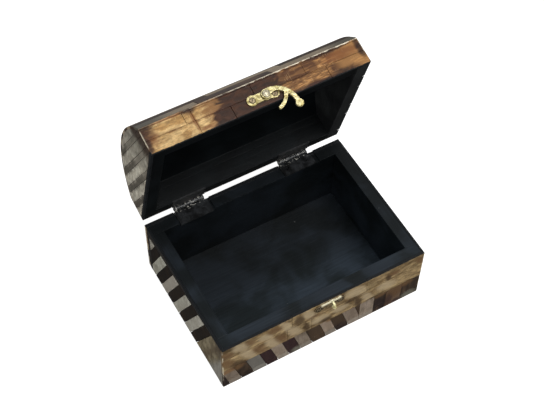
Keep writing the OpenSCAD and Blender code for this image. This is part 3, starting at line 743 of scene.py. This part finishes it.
def placed_piece(shape, node, name, material, slot, dice, along, rounded):
    """Makes the finished object of a shape that stands for a node, with the places, the grain
    direction and the random tints that its material reads."""
    layer_edge = shape.faces.layers.float.new("edge")
    for face in shape.faces:
        face[layer_edge] = 1.0 if face in rounded else 0.0
        face.smooth = True
    place = shape.verts.layers.float_vector.new("place")
    grain = shape.verts.layers.float_vector.new("grain")
    tile = shape.verts.layers.float_vector.new("tile")
    for group in islands(shape):
        tint = Vector((dice.random(), dice.random(), dice.random()))
        far = Vector((dice.random(), dice.random(), dice.random()))
        for vert in group:
            at = closed_place(vert.co, node)
            vert[place] = at
            vert[tile] = tint
            along_x = {"X": at, "Y": Vector((at.y, at.x, at.z)),
                       "Z": Vector((at.z, at.x, at.y))}[along]
            vert[grain] = along_x + far
    mesh = bpy.data.meshes.new(name)
    shape.to_mesh(mesh)
    shape.free()
    piece = bpy.data.objects.new(name, mesh)
    bpy.context.scene.collection.objects.link(piece)
    mesh.materials.append(material)
    normals = piece.modifiers.new("normals", "WEIGHTED_NORMAL")
    normals.keep_sharp = True
    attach(piece, BODY_OF[node])
    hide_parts(node)


def turned(node, name, profile, material, slot):
    """A round piece facing the closed box's front, in place of a node: its profile lists
    (radius, height above the node's own front face), both in mm, from the rim inwards."""
    low, high = closed_box([vert.co for vert in NODES[node].data.vertices], node)
    middle = (low + high) / 2
    outline = [(radius * MM, low.y - rise * MM) for radius, rise in profile]
    outline = [(profile[0][0] * MM, high.y)] + outline
    rounds = 48
    turns = [2 * math.pi * i / rounds for i in range(rounds)]
    shape = bmesh.new()
    rings = []
    for radius, y in outline:
        if radius == 0:
            rings.append([shape.verts.new((middle.x, y, middle.z))] * rounds)
        else:
            rings.append([shape.verts.new((middle.x + radius * math.cos(turn), y,
                                           middle.z + radius * math.sin(turn)))
                          for turn in turns])
    for first, second in zip(rings, rings[1:]):
        for i in range(rounds):
            corners = [first[i], first[(i + 1) % rounds], second[(i + 1) % rounds], second[i]]
            shape.faces.new(list(dict.fromkeys(corners)))
    shape.faces.new(rings[0])
    bmesh.ops.recalc_face_normals(shape, faces=shape.faces)
    for vert in shape.verts:
        vert.co = opened_place(vert.co, node)
    placed_piece(shape, node, name, material, slot, random.Random(name), "X", set())


def build_carcase():
    """The painted boards of base and lid; the lid's copy of the paint is darker, as painted shade, and the lid's
    right end is a paler grey than the rest.
    """
    slot, bevel = "black_painted_wood", 0.35
    base = black_wood("black_painted_wood_base", srgb(8, 13, 15), srgb(22, 28, 34), 0.7, 1.6)
    # The lid's copy of the black paint is darker: painted shade.
    lid = black_wood("black_painted_wood_lid", srgb(3, 5, 6), srgb(8, 12, 14), 1.5, 0.7, 0.17)
    # The lid's right end is a paler grey than the rest of the lid.
    paler_paint = black_wood("black_painted_wood_lid_right", srgb(20, 21, 22), srgb(33, 35, 35),
                       1.3, 1.0)
    for node in ("base_floor", "base_front_wall", "base_back_wall"):
        refined(node, node + "_wood", base, slot, bevel)
    for node in ("base_left_wall", "base_right_wall"):
        refined(node, node + "_wood", base, slot, bevel, along="Y")
    for node in ("lid_front_rail", "lid_back_rail", "lid_dome_panel"):
        refined(node, node + "_wood", lid, slot, bevel)
    for node, paint in (("lid_left_end", lid), ("lid_right_end", paler_paint)):
        refined(node, node + "_wood", paint, slot, bevel, along="Y")


def build_fronts():
    """The veneer of the front, and of the back, which repeats it."""
    toasted, golden = burnt_bone(), golden_bone()
    light, dark = front_light_tiles(), front_dark_tiles()
    for side in ("front", "back"):
        base, lid = f"base_{side}", f"lid_{side}"
        tiled(base + "_planks", base + "_bone_planks", toasted, "burnt_bone")
        tiled(base + "_light_tiles", base + "_bone_tiles", light, "grey_bone", along="Z")
        tiled(base + "_dark_tiles", base + "_horn_tiles", dark, "brown_horn", along="Z")
        tiled(lid + "_light_planks", lid + "_light_bone_planks", golden, "golden_bone")
        tiled(lid + "_dark_planks", lid + "_dark_bone_planks", golden, "golden_bone")


def build_ends():
    """The veneer of both sides of the base and both ends of the lid."""
    light = side_light_tiles()
    dark = plain_horn("brown_horn_side", srgb(24, 18, 12), srgb(42, 32, 22))
    lid_light, lid_dark = lid_end_light_tiles(), lid_end_dark_tiles()
    edging = black_horn()
    for side in ("left", "right"):
        base, lid = f"base_{side}", f"lid_{side}"
        tiled(base + "_light_tiles", base + "_bone_tiles", light, "grey_bone", along="Z")
        tiled(base + "_dark_tiles", base + "_horn_tiles", dark, "brown_horn", along="Z")
        refined(base + "_edging", base + "_horn_edging", edging, "black_horn", along="Y")
        tiled(lid + "_light_tiles", lid + "_bone_tiles", lid_light, "grey_bone", along="Y")
        tiled(lid + "_dark_tiles", lid + "_horn_tiles", lid_dark, "brown_horn", along="Y")


def build_dome():
    """The slats over the lid's dome."""
    bone = slat_bone()
    horn = plain_horn("brown_horn_slats", srgb(44, 31, 25), srgb(84, 62, 44), 0.25)
    tiled("lid_dome_light_slats", "lid_dome_bone_slats", bone, "grey_bone")
    tiled("lid_dome_dark_slats", "lid_dome_horn_slats", horn, "brown_horn")


def build_hinges():
    """Leaves, pins and screws of both hinges, all painted black."""
    material = black_hinge_metal()
    for side in ("left", "right"):
        for node in (f"{side}_hinge_base_leaf", f"{side}_hinge_lid_leaf", f"{side}_hinge_pin"):
            refined(node, node + "_painted", material, "black_painted_hinge", bevel=0.15)
    for node in ("hinge_base_screws", "hinge_lid_screws"):
        refined(node, node + "_painted", material, "black_painted_hinge", bevel=0.06)


def build_catch(screws, rubbed_and_highlight_tone):
    """The catch on the base: its plate is dark, but rubbed bright at the top with a painted highlight, and its
    staple is bright all over, rubbed and with a painted highlight.
    """
    low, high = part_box("catch_plate")
    rubbed_and_highlit_band = (rubbed_and_highlight_tone, high.z - 2.4 * MM, low.x + 6 * MM, high.x - 3 * MM)
    plate = aged_brass("aged_brass_catch", srgb(78, 62, 42), srgb(136, 118, 86), srgb(72, 58, 40),
                       0.3, screw_heads("catch_screws"), dirt_and_shade_ring_mm=0.9, rubbed=rubbed_and_highlit_band)
    # The staple is a bright copy of the brass: rubbed, with a painted highlight.
    staple = aged_brass("aged_brass_rubbed_and_highlit", srgb(206, 196, 140), srgb(244, 240, 196), rubbed_and_highlight_tone, 0.3)
    refined("catch_plate", "catch_plate_brass", plate, "aged_brass", bevel=0.35, segments=3)
    refined("catch_staple", "catch_staple_brass", staple, "aged_brass", bevel=0.1)
    refined("catch_screws", "catch_screws_brass", screws, "aged_brass", bevel=0.08)


def build_latch(screws, rubbed_and_highlight_tone):
    """The latch on the lid: plate, screws, rivet and hook."""
    plate = aged_brass("aged_brass_latch", srgb(150, 136, 84), srgb(206, 194, 142), rubbed_and_highlight_tone,
                       heads=screw_heads("latch_screws"))
    hook = aged_brass("aged_brass_hook", srgb(172, 158, 102), srgb(218, 208, 160), rubbed_and_highlight_tone,
                      0.7, screw_heads("latch_rivet"), dirt_and_shade_ring_mm=0.4)
    rivet = aged_brass("aged_brass_rivet", srgb(168, 158, 130), srgb(214, 206, 180),
                       srgb(200, 190, 150))
    refined("latch_plate", "latch_plate_brass", plate, "aged_brass", bevel=0.4, segments=3)
    refined("latch_screws", "latch_screws_brass", screws, "aged_brass", bevel=0.08)
    domed_head = [(1.5, -0.85), (2.55, -0.8), (2.6, -0.65), (2.45, -0.5), (2.1, -0.45),
                  (1.95, -0.5), (1.85, -0.4), (1.6, -0.2), (1.2, -0.08), (0.7, -0.02), (0, 0)]
    turned("latch_rivet", "latch_rivet_brass", domed_head, rivet, "aged_brass")
    refined("latch_hook", "latch_hook_brass", hook, "aged_brass", bevel=0.6, segments=4)


def build_brass():
    """The catch and the latch, which share their screws' brass and their brightest tone, used for rubbed edges and
    painted highlights.
    """
    rubbed_and_highlight_tone = srgb(244, 238, 206)
    screws = aged_brass("aged_brass_screws", srgb(110, 94, 70), srgb(158, 142, 112),
                        srgb(150, 136, 100))
    build_catch(screws, rubbed_and_highlight_tone)
    build_latch(screws, rubbed_and_highlight_tone)


def build_nails():
    """The brads under the floor."""
    brads = steel_brads()
    refined("base_floor_nails", "base_floor_nails_steel", brads, "steel_brads", bevel=0.08)


# ---- surroundings ----

def floor():
    """A plain white floor far wider than the view."""
    mesh = bpy.data.meshes.new("floor")
    half = 4.0
    mesh.from_pydata([(-half, -half, 0), (half, -half, 0), (half, half, 0), (-half, half, 0)],
                     [], [(0, 1, 2, 3)])
    paint = Paint("floor_white")
    paint.shader.inputs["Base Color"].default_value = (0.5, 0.5, 0.5, 1)
    paint.shader.inputs["Roughness"].default_value = 0.9
    paint.shader.inputs["Specular IOR Level"].default_value = 0.0
    paint.shader.inputs["Emission Color"].default_value = (1, 1, 1, 1)
    paint.shader.inputs["Emission Strength"].default_value = 0.85
    mesh.materials.append(paint.material)
    piece = bpy.data.objects.new("floor", mesh)
    piece.visible_glossy = False
    piece.location.z = -0.2 * MM
    bpy.context.scene.collection.objects.link(piece)


def soft_light(name, place, aim, size, power):
    """A rectangular lamp at a place, turned towards its aim."""
    data = bpy.data.lights.new(name, "AREA")
    data.shape = "RECTANGLE"
    data.size, data.size_y = size
    data.energy = power
    lamp = bpy.data.objects.new(name, data)
    lamp.location = place
    lamp.rotation_euler = (Vector(aim) - Vector(place)).to_track_quat("-Z", "Y").to_euler()
    bpy.context.scene.collection.objects.link(lamp)


def studio_sky():
    """A soft white room: dark below, pale above, brightest low down behind the box."""
    world = bpy.data.worlds.new("studio")
    world.use_nodes = True
    tree = world.node_tree
    towards = tree.nodes.new("ShaderNodeTexCoord").outputs["Generated"]
    axes = tree.nodes.new("ShaderNodeSeparateXYZ")
    tree.links.new(towards, axes.inputs[0])

    def ramp(value, low, high, first, last):
        made = tree.nodes.new("ShaderNodeMapRange")
        tree.links.new(value, made.inputs["Value"])
        numbers = {"From Min": low, "From Max": high, "To Min": first, "To Max": last}
        for key, number in numbers.items():
            made.inputs[key].default_value = number
        return made.outputs["Result"]

    total = tree.nodes.new("ShaderNodeMath")
    total.operation = "ADD"
    tree.links.new(ramp(axes.outputs[2], 0.0, 0.5, 0.05, 0.4), total.inputs[0])
    tree.links.new(ramp(axes.outputs[1], 0.75, 0.95, 0.0, 0.4), total.inputs[1])
    background = tree.nodes["Background"]
    background.inputs["Color"].default_value = (1, 1, 1, 1)
    tree.links.new(total.outputs[0], background.inputs["Strength"])
    bpy.context.scene.world = world


def light_studio():
    """The room's own light, a large key light from in front and a weaker one from the left."""
    bpy.context.scene.view_settings.view_transform = "Standard"
    studio_sky()
    middle = (0, 0, 0.08)
    soft_light("key", (0.25, -0.45, 1.3), middle, (0.8, 0.8), 14)
    soft_light("left", (-1.2, -0.5, 0.7), middle, (0.7, 0.7), 5)


aim_camera()
build_carcase()
build_fronts()
build_ends()
build_dome()
build_hinges()
build_brass()
build_nails()
floor()
light_studio()
